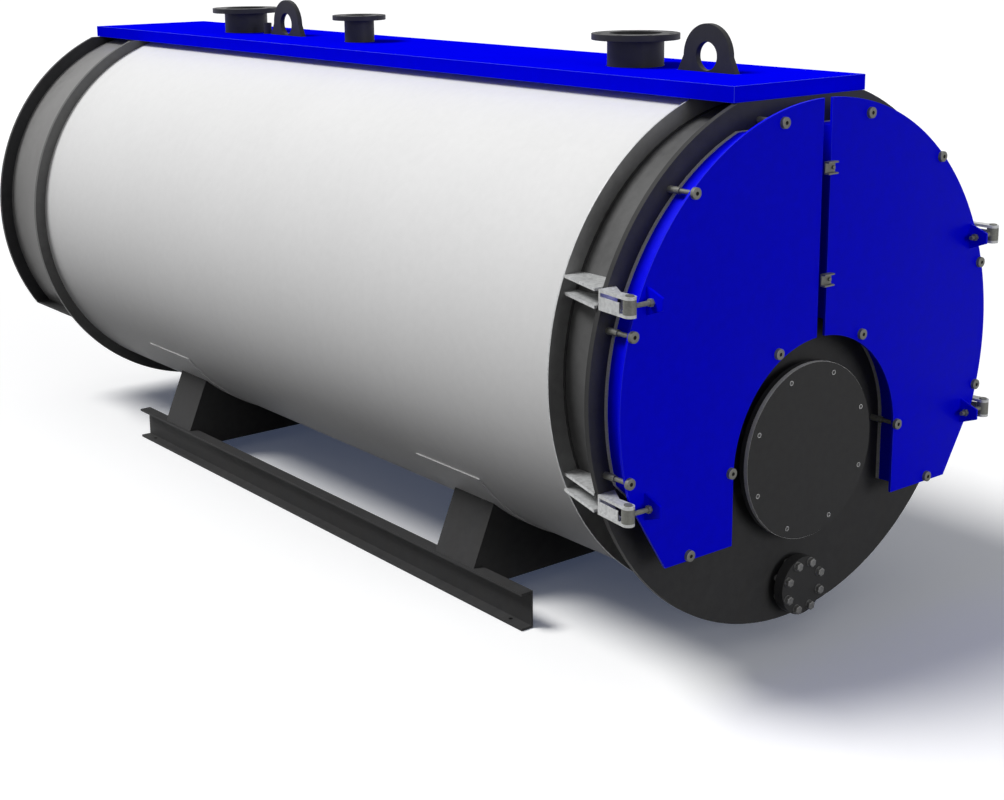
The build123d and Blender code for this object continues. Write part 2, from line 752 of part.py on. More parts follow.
parts = {
    "pressure_shell": pressure_shell(),
    "insulation": insulation(),
    "cladding_sheet": cladding_sheet(),
    "front_ring": front_ring(),
    "front_plate": front_plate(),
    "rear_tube_plate": rear_tube_plate(),
    "smoke_box": smoke_box(),
    "smoke_box_floor": smoke_box_floor(),
    "rear_flange": rear_flange(),
    "rear_cover": rear_cover(),
    "flue_collar": flue_collar(),
    "top_deck": top_deck(),
    "front_nozzle": main_nozzle(FRONT_NOZZLE_Y),
    "rear_nozzle": main_nozzle(rear_nozzle_y),
    "safety_nozzle": safety_nozzle(),
    "sensor_pocket": sensor_pocket(),
    "front_lifting_lug": lifting_lug(FRONT_LUG_Y),
    "rear_lifting_lug": lifting_lug(rear_lug_y),
    "right_skid": right_skid(),
    "left_skid": other_side(right_skid()),
    "front_saddle": saddle(FRONT_SADDLE_Y),
    "rear_saddle": saddle(rear_saddle_y),
    "front_saddle_pad": saddle_pad(FRONT_SADDLE_Y),
    "rear_saddle_pad": saddle_pad(rear_saddle_y),
    "burner_neck": burner_neck(),
    "burner_plate": burner_plate(),
    "drain_neck": drain_neck(),
    "drain_blind_flange": drain_blind(),
    "stud_sleeves": stud_sleeves(),
    "hinge_brackets": hinge_brackets(),
    "hinge_pins": hinge_pins(),
    "hinge_gussets": hinge_gussets(),
    "door_clips": door_clips(),
}
door_pieces = {
    "door_seal": seal_frame(),
    "door_panel": door_panel(),
    "door_rim": door_rim(),
    "door_lining": door_lining(),
    "door_bolts": door_bolts(),
    "door_lugs": door_lugs(),
    "eye_bolts": eye_bolts(),
}
for name, piece in door_pieces.items():
    parts["right_" + name] = piece
    parts["left_" + name] = other_side(piece)

os.makedirs("parts", exist_ok=True)
for name, piece in parts.items():
    export_step(Pos(0, -middle_y, axis_height) * piece, f"parts/{name}.step")
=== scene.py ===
# %% [markdown]
# A horizontal hot-water boiler, dressed for its portrait.
# The solid model of the boiler comes in as a fixed frame, in metres, standing on the floor with its doors towards
# -Y. This lesson gives that frame its finishes, rounds the edges that catch the light, adds the small fasteners, and
# then sets the light and the camera. We begin by loading the frame.

# %% Load the boiler's frame
import json
from math import cos, hypot, pi, radians, sin
import bpy
from mathutils import Matrix, Vector

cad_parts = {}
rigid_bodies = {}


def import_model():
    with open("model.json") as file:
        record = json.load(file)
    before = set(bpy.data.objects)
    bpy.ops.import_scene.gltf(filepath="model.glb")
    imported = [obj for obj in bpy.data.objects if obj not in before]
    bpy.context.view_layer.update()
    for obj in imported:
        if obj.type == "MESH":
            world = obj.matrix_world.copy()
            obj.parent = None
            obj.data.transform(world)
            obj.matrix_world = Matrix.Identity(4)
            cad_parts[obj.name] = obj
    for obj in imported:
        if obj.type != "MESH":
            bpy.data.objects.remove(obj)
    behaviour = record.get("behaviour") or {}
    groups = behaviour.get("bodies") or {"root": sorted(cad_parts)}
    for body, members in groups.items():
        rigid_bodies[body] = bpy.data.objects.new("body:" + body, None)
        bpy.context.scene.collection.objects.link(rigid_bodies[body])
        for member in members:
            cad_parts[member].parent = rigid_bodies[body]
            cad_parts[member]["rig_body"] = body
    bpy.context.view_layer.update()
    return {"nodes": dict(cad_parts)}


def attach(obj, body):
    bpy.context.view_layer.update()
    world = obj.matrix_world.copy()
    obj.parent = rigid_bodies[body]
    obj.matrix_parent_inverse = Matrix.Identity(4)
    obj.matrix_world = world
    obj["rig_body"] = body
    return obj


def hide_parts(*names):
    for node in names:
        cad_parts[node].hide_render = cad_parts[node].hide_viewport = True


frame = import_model()
node_body = {name: node["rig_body"] for name, node in frame["nodes"].items()}

# %% [markdown]
# The boiler's own ruler.
# The boiler was drawn with X to the right, Y to the rear from the face of the front ring, and Z up from the drum's
# axis, in millimetres. A small helper turns such a place into the frame's metres, so that the places below can be
# read straight off a drawing of the boiler. Sizes that go to Blender's own tools are in metres.

# %% Places on the boiler
AXIS_HEIGHT = 1087.0
MIDDLE = 2168.0
PLATE_FACE = -240.0


def place(x, y, z):
    return Vector((x / 1000, (y - MIDDLE) / 1000, (z + AXIS_HEIGHT) / 1000))


print("front plate's face is at", place(0, PLATE_FACE, 0))

# %% [markdown]
# Working as by hand.
# Operators act on whatever is selected, so every piece starts with nothing selected. In edit mode we pick faces by
# their normal and their place, as we would click on them.

# %% Selecting
def select_only(*pieces):
    for other in list(bpy.context.selected_objects):
        other.select_set(False)
    for piece in pieces:
        piece.select_set(True)
    bpy.context.view_layer.objects.active = pieces[-1] if pieces else None


def clear_selection(piece):
    select_only(piece)
    bpy.ops.object.mode_set(mode="EDIT")
    bpy.ops.mesh.select_mode(type="FACE")
    bpy.ops.mesh.select_all(action="DESELECT")
    bpy.ops.object.mode_set(mode="OBJECT")


def pick_faces(piece, wanted):
    """Leaves the piece in edit mode with the wanted faces selected."""
    clear_selection(piece)
    for face in piece.data.polygons:
        face.select = bool(wanted(face))
    bpy.ops.object.mode_set(mode="EDIT")


def done():
    bpy.ops.object.mode_set(mode="OBJECT")


select_only()
print("nothing is selected:", len(bpy.context.selected_objects) == 0)

# %% [markdown]
# From a shape to a finished piece.
# A finished piece has its edges rounded, its place in its mesh and its object at the origin. Then it is tied to the
# body that carries it and given a finish. What repeats is modelled once and copied, and the copies are joined into
# one piece.

# %% Finishing
BEVEL_STEPS = 2
SMOOTH_ANGLE = 32


def apply_place():
    bpy.ops.object.transform_apply(location=True, rotation=True, scale=True)


def round_edges(piece, width, angle=40, new_faces=-1):
    """Rounds the edges that are sharper than the angle, by a width in millimetres."""
    select_only(piece)
    soft = piece.modifiers.new("soft_edges", "BEVEL")
    soft.width = width / 1000
    soft.segments = BEVEL_STEPS
    soft.limit_method = "ANGLE"
    soft.angle_limit = radians(angle)
    soft.use_clamp_overlap = True
    soft.material = new_faces
    bpy.ops.object.modifier_apply(modifier=soft.name)
    bpy.ops.object.shade_smooth_by_angle(angle=radians(SMOOTH_ANGLE))
    even = piece.modifiers.new("even_shading", "WEIGHTED_NORMAL")
    even.weight = 100
    even.keep_sharp = True
    bpy.ops.object.modifier_apply(modifier=even.name)


def join(pieces, name):
    select_only(*pieces)
    if len(pieces) > 1:
        bpy.ops.object.join()
    whole = bpy.context.view_layer.objects.active
    apply_place()
    whole.name = name
    whole.data.name = name
    return whole


def put(piece, spot, name):
    piece.location = spot
    return join([piece], name)


def copies(master, spots, name):
    """One piece made of a copy of the master at each spot, each with its own mesh. The master goes."""
    made = []
    for spot in spots:
        select_only(master)
        bpy.ops.object.duplicate(linked=False)
        twin = bpy.context.view_layer.objects.active
        twin.location = spot
        made.append(twin)
    bpy.data.objects.remove(master)
    return join(made, name)


def settle(piece, body, finish):
    if finish:
        piece.data.materials.clear()
        piece.data.materials.append(finish)
    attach(piece, body)
    print(piece.name, "rides on", body, "with", len(piece.data.polygons), "faces")


print("edges are rounded in", BEVEL_STEPS, "steps")

# %% [markdown]
# Small builders for node trees.
# A material is a tree of nodes, and the same few nodes come again and again: noise, a sum, a change of range, a mix
# of two colours. They could be wired one by one each time. Short functions that add a node and return its output keep
# the recipes below readable.

# %% Node builders
def link_or_set(tree, socket, value):
    if isinstance(value, (int, float, tuple)):
        socket.default_value = value
    else:
        tree.links.new(value, socket)


def add_noise(tree, scale, detail=3.0, roughness=0.55):
    noise = tree.nodes.new("ShaderNodeTexNoise")
    noise.inputs["Scale"].default_value = scale
    noise.inputs["Detail"].default_value = detail
    noise.inputs["Roughness"].default_value = roughness
    return noise


def add_math(tree, operation, first, second, clamp=False):
    node = tree.nodes.new("ShaderNodeMath")
    node.operation = operation
    node.use_clamp = clamp
    for socket, value in zip(node.inputs, (first, second)):
        link_or_set(tree, socket, value)
    return node.outputs[0]


def add_range(tree, value, low, high, to_low, to_high):
    node = tree.nodes.new("ShaderNodeMapRange")
    tree.links.new(value, node.inputs["Value"])
    node.inputs["From Min"].default_value = low
    node.inputs["From Max"].default_value = high
    node.inputs["To Min"].default_value = to_low
    node.inputs["To Max"].default_value = to_high
    return node.outputs["Result"]


def add_mix(tree, factor, first, second):
    node = tree.nodes.new("ShaderNodeMix")
    node.data_type = "RGBA"
    tree.links.new(factor, node.inputs["Factor"])
    for socket, value in ((node.inputs["A"], first), (node.inputs["B"], second)):
        link_or_set(tree, socket, value)
    return node.outputs["Result"]


def new_group(name, values, output):
    """A node group with a Vector input, an input for each value, and one output."""
    group = bpy.data.node_groups.new(name, "ShaderNodeTree")
    group.interface.new_socket("Vector", in_out="INPUT", socket_type="NodeSocketVector")
    for label, value in values.items():
        socket = group.interface.new_socket(label, in_out="INPUT", socket_type="NodeSocketFloat")
        socket.default_value = value
    group.interface.new_socket(output, in_out="OUTPUT", socket_type="NodeSocketFloat")
    start = group.nodes.new("NodeGroupInput")
    end = group.nodes.new("NodeGroupOutput")
    return group, start, end


print("node builders ready")

# %% [markdown]
# Mottle, the first effect that several finishes share.
# Paint on plate is never one flat colour: it varies a little from place to place. That could be drawn again in every
# material, but a node group is made once and used everywhere with its own values. This one adds a slow and a quick
# noise and puts out a tone from 0 to 1. Like the next two it reads Object coordinates, which here are metres on the
# boiler.

# %% Mottle
SLOW_PATCHES = 1.5
QUICK_PATCHES = 28.0
mottle, start, end = new_group("paint_mottle", {"Slow": SLOW_PATCHES, "Quick": QUICK_PATCHES}, "Tone")
slow = add_noise(mottle, SLOW_PATCHES)
quick = add_noise(mottle, QUICK_PATCHES, detail=4.0)
for noise, label in ((slow, "Slow"), (quick, "Quick")):
    mottle.links.new(start.outputs["Vector"], noise.inputs["Vector"])
    mottle.links.new(start.outputs[label], noise.inputs["Scale"])
both = add_math(mottle, "ADD", slow.outputs["Fac"], quick.outputs["Fac"])
mottle.links.new(add_range(mottle, both, 0.7, 1.3, 0.0, 1.0), end.inputs["Tone"])
print("group made:", mottle.name)

# %% [markdown]
# Orange peel.
# Paint from a spray gun dries in fine dimples, like the skin of an orange, with a few specks of dust caught in it. A
# real surface could be displaced, but the dimples are far too small to model, so this group puts out a height for the
# bump.

# %% Orange peel
PEEL_GRAIN = 240.0
SPECK_SCALE = 55.0
SPECK_HEIGHT = 0.6
peel, start, end = new_group("orange_peel", {"Grain": PEEL_GRAIN}, "Height")
grain = add_noise(peel, PEEL_GRAIN, detail=2.0, roughness=0.4)
peel.links.new(start.outputs["Vector"], grain.inputs["Vector"])
peel.links.new(start.outputs["Grain"], grain.inputs["Scale"])
specks = add_noise(peel, SPECK_SCALE, detail=1.0, roughness=0.3)
peel.links.new(start.outputs["Vector"], specks.inputs["Vector"])
raised = add_range(peel, specks.outputs["Fac"], 0.68, 0.76, 0.0, SPECK_HEIGHT)
peel.links.new(add_math(peel, "ADD", grain.outputs["Fac"], raised), end.inputs["Height"])
print("group made:", peel.name)

# %% [markdown]
# Grime.
# Dust and water leave soft runs that hang down a face, and more of them low on the boiler. Noise that is stretched
# upright gives the runs, and the height above the floor thins them out towards the top. The mask goes from 0 to 1.

# %% Grime
GRIME_TOP = 1.3
GRIME_AT_TOP = 0.25
grime, start, end = new_group("grime_runs", {"Amount": 0.3}, "Mask")
stretch = grime.nodes.new("ShaderNodeMapping")
stretch.inputs["Scale"].default_value = (6.0, 6.0, 0.7)
grime.links.new(start.outputs["Vector"], stretch.inputs["Vector"])
runs = add_noise(grime, 2.0, detail=4.0, roughness=0.6)
grime.links.new(stretch.outputs["Vector"], runs.inputs["Vector"])
split = grime.nodes.new("ShaderNodeSeparateXYZ")
grime.links.new(start.outputs["Vector"], split.inputs["Vector"])
low_down = add_range(grime, split.outputs["Z"], 0.0, GRIME_TOP, 1.0, GRIME_AT_TOP)
streak = add_range(grime, runs.outputs["Fac"], 0.45, 0.75, 0.0, 1.0)
mask = add_math(grime, "MULTIPLY", streak, low_down)
grime.links.new(add_math(grime, "MULTIPLY", mask, start.outputs["Amount"], clamp=True), end.inputs["Mask"])
print("group made:", grime.name)

# %% [markdown]
# Sprayed paint.
# The doors and the deck are a strong pure blue, the cladding is a satin off-white, and the plates, skids and flanges
# are dark greys. They are all one kind of finish, sprayed paint on steel, so one function makes them: a mottled base
# colour with a trace of grime, a roughness that follows the mottle, and orange peel as bump. The paint is dull rather
# than glossy, so the shader's specular level is low and set on its own socket.

# %% The paint recipe
PEEL_DEPTH = 0.0006
PEEL_STRENGTH = 0.25


def new_material(name):
    material = bpy.data.materials.new(name)
    material.use_nodes = True
    tree = material.node_tree
    shader = tree.nodes["Principled BSDF"]
    coords = tree.nodes.new("ShaderNodeTexCoord")
    return material, tree, shader, coords.outputs["Object"]


def use_group(tree, group, vector, **values):
    node = tree.nodes.new("ShaderNodeGroup")
    node.node_tree = group
    tree.links.new(vector, node.inputs["Vector"])
    for label, value in values.items():
        node.inputs[label].default_value = value
    return node.outputs[0]


def add_bump(tree, shader, height, distance, strength):
    bump = tree.nodes.new("ShaderNodeBump")
    bump.inputs["Distance"].default_value = distance
    bump.inputs["Strength"].default_value = strength
    tree.links.new(height, bump.inputs["Height"])
    tree.links.new(bump.outputs["Normal"], shader.inputs["Normal"])


def shade_of(colour, factor):
    return tuple(min(1.0, part * factor) for part in colour) + (1.0,)


def paint(name, colour, spread, rough, specular, dirt=0.25, dirt_colour=(0.05, 0.045, 0.04)):
    material, tree, shader, vector = new_material(name)
    tone = use_group(tree, mottle, vector)
    base = add_mix(tree, tone, shade_of(colour, 1 - spread), shade_of(colour, 1 + spread))
    dirty = use_group(tree, grime, vector, Amount=dirt)
    tree.links.new(add_mix(tree, dirty, base, dirt_colour + (1.0,)), shader.inputs["Base Color"])
    tree.links.new(add_range(tree, tone, 0.0, 1.0, rough[0], rough[1]), shader.inputs["Roughness"])
    shader.inputs["Specular IOR Level"].default_value = specular
    add_bump(tree, shader, use_group(tree, peel, vector), PEEL_DEPTH, PEEL_STRENGTH)
    return material


print("paint recipe ready")

# %% [markdown]
# The paints of this boiler.
# Each paint has its colour, how far its tone spreads, the least and greatest roughness, and its specular level. The
# blues gather a dark blue dust and the cladding a pale one; the others take the common brown grime. A lighter blue is
# kept for the rounded edges of the blue pieces, as a painted highlight along them.

# %% Paints
BLUE_DUST = (0.004, 0.004, 0.25)
blue_paint = paint(
    "blue_paint", (0.0003, 0.0006, 0.93), spread=0.05, rough=(0.36, 0.5), specular=0.06,
    dirt=0.04, dirt_colour=BLUE_DUST,
)
# The deck's blue is a little lighter than the doors' blue: painted light, a lighter copy of the same paint for its lit
# top.
deck_blue_painted_light = paint(
    "deck_blue_painted_light", (0.0003, 0.0006, 0.99), spread=0.05, rough=(0.5, 0.62), specular=0.0,
    dirt=0.04, dirt_colour=BLUE_DUST,
)
# Lighter blue for the rounded edges of the blue pieces: a painted highlight.
blue_painted_highlight = paint(
    "blue_painted_highlight", (0.07, 0.1, 1.0), spread=0.1, rough=(0.36, 0.5), specular=0.1,
    dirt=0.02, dirt_colour=(0.02, 0.02, 0.3),
)
white_cladding = paint(
    "white_cladding", (0.87, 0.87, 0.87), spread=0.02, rough=(0.36, 0.48), specular=0.03,
    dirt=0.05, dirt_colour=(0.5, 0.49, 0.47),
)
dark_paint = paint("dark_paint", (0.05, 0.05, 0.051), spread=0.14, rough=(0.45, 0.62), specular=0.08)
# The front ring's grey is set lighter than the dark plates: painted light for the front light that the front plate
# keeps off it.
ring_grey_painted_light = paint("ring_grey_painted_light", (0.3, 0.3, 0.3), spread=0.14, rough=(0.42, 0.58), specular=0.15)
shell_paint = paint("shell_paint", (0.11, 0.11, 0.11), spread=0.14, rough=(0.4, 0.55), specular=0.2)
black_paint = paint("black_paint", (0.026, 0.026, 0.028), spread=0.2, rough=(0.4, 0.6), specular=0.18)
primer = paint("grey_primer", (0.235, 0.232, 0.23), spread=0.08, rough=(0.4, 0.55), specular=0.3)
print("paints made")

# %% [markdown]
# Galvanised steel.
# The hinge brackets are hot-dip galvanised, which shows as a patchwork of zinc crystals. Noise would look like cloud,
# so a Voronoi texture is used, which gives each cell its own tone and its own roughness.

# %% Galvanised finish
ZINC_CELLS = 90.0


def galvanised_steel():
    material, tree, shader, vector = new_material("galvanised")
    cells = tree.nodes.new("ShaderNodeTexVoronoi")
    cells.inputs["Scale"].default_value = ZINC_CELLS
    tree.links.new(vector, cells.inputs["Vector"])
    tone = tree.nodes.new("ShaderNodeSeparateColor")
    tree.links.new(cells.outputs["Color"], tone.inputs["Color"])
    base = add_mix(tree, tone.outputs["Red"], (0.52, 0.53, 0.53, 1), (0.68, 0.69, 0.69, 1))
    dirty = use_group(tree, grime, vector, Amount=0.3)
    tree.links.new(add_mix(tree, dirty, base, (0.25, 0.24, 0.22, 1)), shader.inputs["Base Color"])
    tree.links.new(add_range(tree, tone.outputs["Green"], 0, 1, 0.35, 0.55), shader.inputs["Roughness"])
    shader.inputs["Metallic"].default_value = 0.25
    add_bump(tree, shader, cells.outputs["Distance"], 0.0004, 0.2)
    return material


galvanised = galvanised_steel()
print("finish made:", galvanised.name)

# %% [markdown]
# Bare steel.
# The bolts and pins are plain steel under a thin film of oil, and the nuts and tube ends are duller. The bushes and
# the rim on the burner plate are light and near white, as painted highlights for their lit edges. One recipe serves
# them all: two tones, a fine mottle and a finer grain than paint.

# %% Bare steel finishes
STEEL_GRIME = (0.1, 0.08, 0.06, 1)


def bare_steel(name, dark, light, metallic, rough):
    material, tree, shader, vector = new_material(name)
    tone = use_group(tree, mottle, vector, Slow=9.0, Quick=120.0)
    film = add_mix(tree, tone, dark + (1,), light + (1,))
    dirty = use_group(tree, grime, vector, Amount=0.35)
    tree.links.new(add_mix(tree, dirty, film, STEEL_GRIME), shader.inputs["Base Color"])
    tree.links.new(add_range(tree, tone, 0, 1, rough[0], rough[1]), shader.inputs["Roughness"])
    shader.inputs["Metallic"].default_value = metallic
    add_bump(tree, shader, use_group(tree, peel, vector, Grain=500.0), 0.0003, 0.2)
    return material


oiled_steel = bare_steel("oiled_steel", (0.125, 0.125, 0.112), (0.22, 0.224, 0.2), 0.3, (0.42, 0.62))
bright_steel_painted_highlight = bare_steel("bright_steel_painted_highlight", (0.62, 0.62, 0.62), (0.82, 0.82, 0.82), 0.6, (0.25, 0.42))
ground_steel_painted_glint = bare_steel("ground_steel_painted_glint", (0.86, 0.86, 0.86), (0.98, 0.98, 0.98), 0.1, (0.3, 0.45))
dull_steel = bare_steel("dull_steel", (0.13, 0.13, 0.13), (0.24, 0.24, 0.235), 0.3, (0.4, 0.6))
print("bare steels made")

# %% [markdown]
# Seal, lining, wool and soot.
# The door lining is cast refractory, rough and pale, with pores. The seal strip, the insulation and the soot are rough
# and grainy too, at other scales. Voronoi cells give the pores, noise gives the grains, and their product is both the
# bump and the tone, so that the pits are dark: partly the material's own dark, partly painted shade in the pits.

# %% Rough finishes
def rough_mass(name, dark, light, scale, depth):
    material, tree, shader, vector = new_material(name)
    pores = tree.nodes.new("ShaderNodeTexVoronoi")
    pores.inputs["Scale"].default_value = scale
    tree.links.new(vector, pores.inputs["Vector"])
    grains = add_noise(tree, scale * 0.6, detail=6.0, roughness=0.65)
    tree.links.new(vector, grains.inputs["Vector"])
    pit = add_range(tree, pores.outputs["Distance"], 0.05, 0.45, 0.0, 1.0)
    height = add_math(tree, "MULTIPLY", pit, grains.outputs["Fac"])
    tree.links.new(add_mix(tree, height, dark + (1,), light + (1,)), shader.inputs["Base Color"])
    tree.links.new(add_range(tree, grains.outputs["Fac"], 0, 1, 0.75, 0.98), shader.inputs["Roughness"])
    shader.inputs["Specular IOR Level"].default_value = 0.15
    add_bump(tree, shader, height, depth, 0.6)
    return material


# The seal's tones are set lighter: painted light against the shade that the door's overhang casts on it.
seal_strip_painted_light = rough_mass("seal_strip_painted_light", (0.5, 0.5, 0.48), (0.85, 0.85, 0.82), 260.0, 0.001)
refractory = rough_mass("refractory", (0.3, 0.27, 0.22), (0.62, 0.58, 0.5), 70.0, 0.002)
mineral_wool = rough_mass("mineral_wool", (0.35, 0.28, 0.12), (0.6, 0.52, 0.28), 120.0, 0.003)
# Near black: soot in the smoke tubes' bores, and painted shade in the bolt sockets and for the depth of the bores.
soot_and_painted_shade = rough_mass("soot_and_painted_shade", (0.004, 0.004, 0.004), (0.02, 0.019, 0.018), 150.0, 0.001)
print("rough finishes made")

# %% [markdown]
# A finish for every piece of the frame.
# The frame's nodes keep their shapes, and each is given the finish that the real piece has. A table of finish and
# names is easier to check against a picture than forty separate lines.

# %% Dress the frame
finishes = {
    white_cladding: ("cladding_sheet", "front_saddle_pad", "rear_saddle_pad"),
    deck_blue_painted_light: ("top_deck",),
    blue_paint: (
        "left_door_panel", "right_door_panel", "left_door_rim", "right_door_rim", "left_door_lugs",
        "right_door_lugs",
    ),
    dark_paint: (
        "front_plate", "smoke_box_floor", "right_skid", "left_skid", "front_saddle", "rear_saddle", "burner_neck",
        "burner_plate", "drain_neck", "drain_blind_flange",
    ),
    black_paint: (
        "rear_flange", "front_nozzle", "rear_nozzle", "safety_nozzle", "sensor_pocket", "front_lifting_lug",
        "rear_lifting_lug", "rear_cover", "flue_collar",
    ),
    ring_grey_painted_light: ("front_ring",),
    shell_paint: ("pressure_shell", "rear_tube_plate"),
    primer: ("smoke_box",),
    galvanised: ("hinge_brackets", "hinge_gussets"),
    oiled_steel: (
        "door_clips", "stud_sleeves", "hinge_pins", "left_door_bolts", "right_door_bolts", "left_eye_bolts",
        "right_eye_bolts",
    ),
    seal_strip_painted_light: ("left_door_seal", "right_door_seal"),
    refractory: ("left_door_lining", "right_door_lining"),
    mineral_wool: ("insulation",),
}
finish_of = {}
for finish, names in finishes.items():
    for name in names:
        node = frame["nodes"][name]
        node.data.materials.clear()
        node.data.materials.append(finish)
        finish_of[name] = finish
print("dressed", len(finish_of), "nodes; left:", sorted(set(frame["nodes"]) - set(finish_of)))

# %% [markdown]
# Edges that catch the light.
# Real plate has its edges ground or at least painted round, and the thin bright line along an edge is what makes
# it look like steel. The frame's solids are sharp. We could bevel in the shader, but that is lost outside the
# renderer, so each of these pieces is copied, its loose triangles are merged and joined into flat faces, and a Bevel
# modifier rounds the edges for good. The copy then stands in for the frame's node.

# %% Soft-edged copies
MERGE_DISTANCE = 0.00002
FLAT_ANGLE = 0.5
edge_widths = {
    "left_door_panel": 1.5, "right_door_panel": 1.5, "top_deck": 3.0, "burner_plate": 1.5,
    "front_nozzle": 1.5, "rear_nozzle": 1.5, "safety_nozzle": 1.5,
    "front_lifting_lug": 2.5, "rear_lifting_lug": 2.5, "right_skid": 2.0, "left_skid": 2.0,
    "drain_blind_flange": 1.0, "left_door_lugs": 1.0, "right_door_lugs": 1.0, "door_clips": 1.0,
}
painted_highlight_edged = ("left_door_panel", "right_door_panel", "top_deck")


def soften(name, width, edge):
    piece = bpy.data.objects.new("soft_" + name, frame["nodes"][name].data.copy())
    bpy.context.scene.collection.objects.link(piece)
    select_only(piece)
    bpy.ops.object.mode_set(mode="EDIT")
    bpy.ops.mesh.select_all(action="SELECT")
    bpy.ops.mesh.remove_doubles(threshold=MERGE_DISTANCE)
    bpy.ops.mesh.dissolve_limited(angle_limit=radians(FLAT_ANGLE))
    done()
    if piece.data.has_custom_normals:
        bpy.ops.mesh.customdata_custom_splitnormals_clear()
    piece.data.materials.clear()
    piece.data.materials.append(finish_of[name])
    piece.data.materials.append(edge)
    round_edges(piece, width, new_faces=1)
    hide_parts(name)
    settle(piece, node_body[name], None)


# The door panels and the deck get the lighter blue on their rounded edges as a painted highlight; the others keep their
# own finish there.
for name, width in edge_widths.items():
    soften(name, width, blue_painted_highlight if name in painted_highlight_edged else finish_of[name])

# %% [markdown]
# Round stock that points to the front.
# Most of the fasteners start as a cylinder along Y. The face that lies furthest forward is then inset, moved or sunk.
# These three steps are used for every kind of bolt below, so each is a helper of its own.

# %% Cylinders along Y
SAME_FACE = 0.0002


def faces_front(face):
    return face.normal.y < -0.9


def pick_front(piece):
    """Leaves the piece in edit mode with its foremost face selected."""
    nearest = min(face.center.y for face in piece.data.polygons)
    pick_faces(piece, lambda face: faces_front(face) and face.center.y < nearest + SAME_FACE)


def front_rod(radius, length, sides, y=0.0, turn=0.0):
    """A cylinder whose back is at y, pointing to the front."""
    bpy.ops.mesh.primitive_cylinder_add(
        vertices=sides, radius=radius, depth=length, location=(0, y - length / 2, 0), rotation=(pi / 2, turn, 0)
    )
    rod = bpy.context.view_layer.objects.active
    apply_place()
    return rod


def sink(depth):
    bpy.ops.mesh.extrude_region_move(TRANSFORM_OT_translate={"value": (0, depth, 0)})


def draw_forward(distance):
    bpy.ops.transform.translate(value=(0, -distance, 0))


print("helpers for round stock ready")

# %% [markdown]
# Button heads on the door bolts.
# Each door is held shut by seven bolts whose wide heads lie on the panel. A cylinder is the start: its front face is
# inset and drawn forward for the low crown, then a round socket is let into the crown and coloured near black as
# painted shade. One head is modelled at the origin and copied to the seven places, and the other door gets the mirrored
# places.

# %% Door bolt heads
PANEL_FACE = -353.0
HEAD_BACK = PANEL_FACE - 4.5
HEAD_RADIUS = 0.0195
HEAD_HEIGHT = 0.0075
SOCKET_RADIUS = 0.0068
SOCKET_DEPTH = 0.0018
CROWN_SLOPE = 0.22
CROWN_RISE = 0.2
door_bolts = [(221, 842), (634, 650), (900, 220), (910, -265), (634, -580), (440, -333), (218, 48)]


def button_head():
    head = front_rod(HEAD_RADIUS, HEAD_HEIGHT, 36)
    pick_front(head)
    bpy.ops.mesh.inset(thickness=HEAD_RADIUS * CROWN_SLOPE)
    draw_forward(HEAD_HEIGHT * CROWN_RISE)
    bpy.ops.mesh.inset(thickness=HEAD_RADIUS * (1 - CROWN_SLOPE) - SOCKET_RADIUS)
    sink(SOCKET_DEPTH)
    done()
    round_edges(head, 0.6, 30)
    return head


for side, sign in (("left", -1), ("right", 1)):
    spots = [place(sign * x, HEAD_BACK, z) for x, z in door_bolts]
    heads = copies(button_head(), spots, side + "_door_bolt_heads")
    settle(heads, side + "_door", oiled_steel)
    # The socket faces take the near-black finish as painted shade.
    heads.data.materials.append(soot_and_painted_shade)
    for face in heads.data.polygons:
        nearest = min(hypot(face.center.x - spot.x, face.center.z - spot.z) for spot in spots)
        face.material_index = int(nearest < SOCKET_RADIUS)

# %% [markdown]
# Hexagon bolts.
# The drain's blind flange is held by eight hexagon bolts, and the rear cover by a ring of the same kind. A six-sided
# cylinder is the shank of the head; insetting its front face and pushing it forward gives the chamfered crown, and a
# washer made from a second cylinder goes under it. The threaded end with its nut stands out behind the flange.

# %% Parts of a hexagon bolt
WASHER_HEIGHT = 0.003
WASHER_BORE = 0.0085


def hexagon(across, height, y, turn):
    """A chamfered hexagon whose back is at y."""
    head = front_rod(across / 2 / cos(pi / 6), height, 6, y, turn)
    pick_front(head)
    bpy.ops.mesh.inset(thickness=across * 0.1)
    draw_forward(height * 0.16)
    done()
    round_edges(head, 0.5, 20)
    return head


def washer(radius):
    ring = front_rod(radius, WASHER_HEIGHT, 32)
    pick_front(ring)
    bpy.ops.mesh.inset(thickness=radius - WASHER_BORE)
    sink(WASHER_HEIGHT * 0.7)
    done()
    round_edges(ring, 0.4, 30)
    return ring


def hexagon_bolt(across, height, washer_radius):
    return join([washer(washer_radius), hexagon(across, height, -WASHER_HEIGHT, 0.2)], "bolt")


def thread_end(radius, length, y):
    rod = front_rod(radius, length, 20, y)
    pick_front(rod)
    bpy.ops.mesh.inset(thickness=radius * 0.25)
    draw_forward(radius * 0.2)
    done()
    round_edges(rod, 0.4, 30)
    return rod


print("hexagon bolts have washers of", WASHER_HEIGHT * 1000, "mm")

# %% [markdown]
# The drain's bolts and nuts.
# The heads sit on the blind flange and the nuts behind the neck's flange, on the same circle. The nut is modelled
# facing the front like the rest and then turned to the rear.

# %% Drain bolts
DRAIN_HEIGHT = -872.0
DRAIN_CIRCLE = 180
DRAIN_FACE = -309
DRAIN_BACK = -269
NUT_HEIGHT = 0.012


def bolt_circle(circle, count, y, z):
    turns = [radians(180 / count + 360 * i / count) for i in range(count)]
    return [place(circle / 2 * cos(turn), y, z + circle / 2 * sin(turn)) for turn in turns]


def face_rear(piece):
    select_only(piece)
    bpy.ops.transform.rotate(value=pi, orient_axis="Z", center_override=(0, 0, 0))
    apply_place()


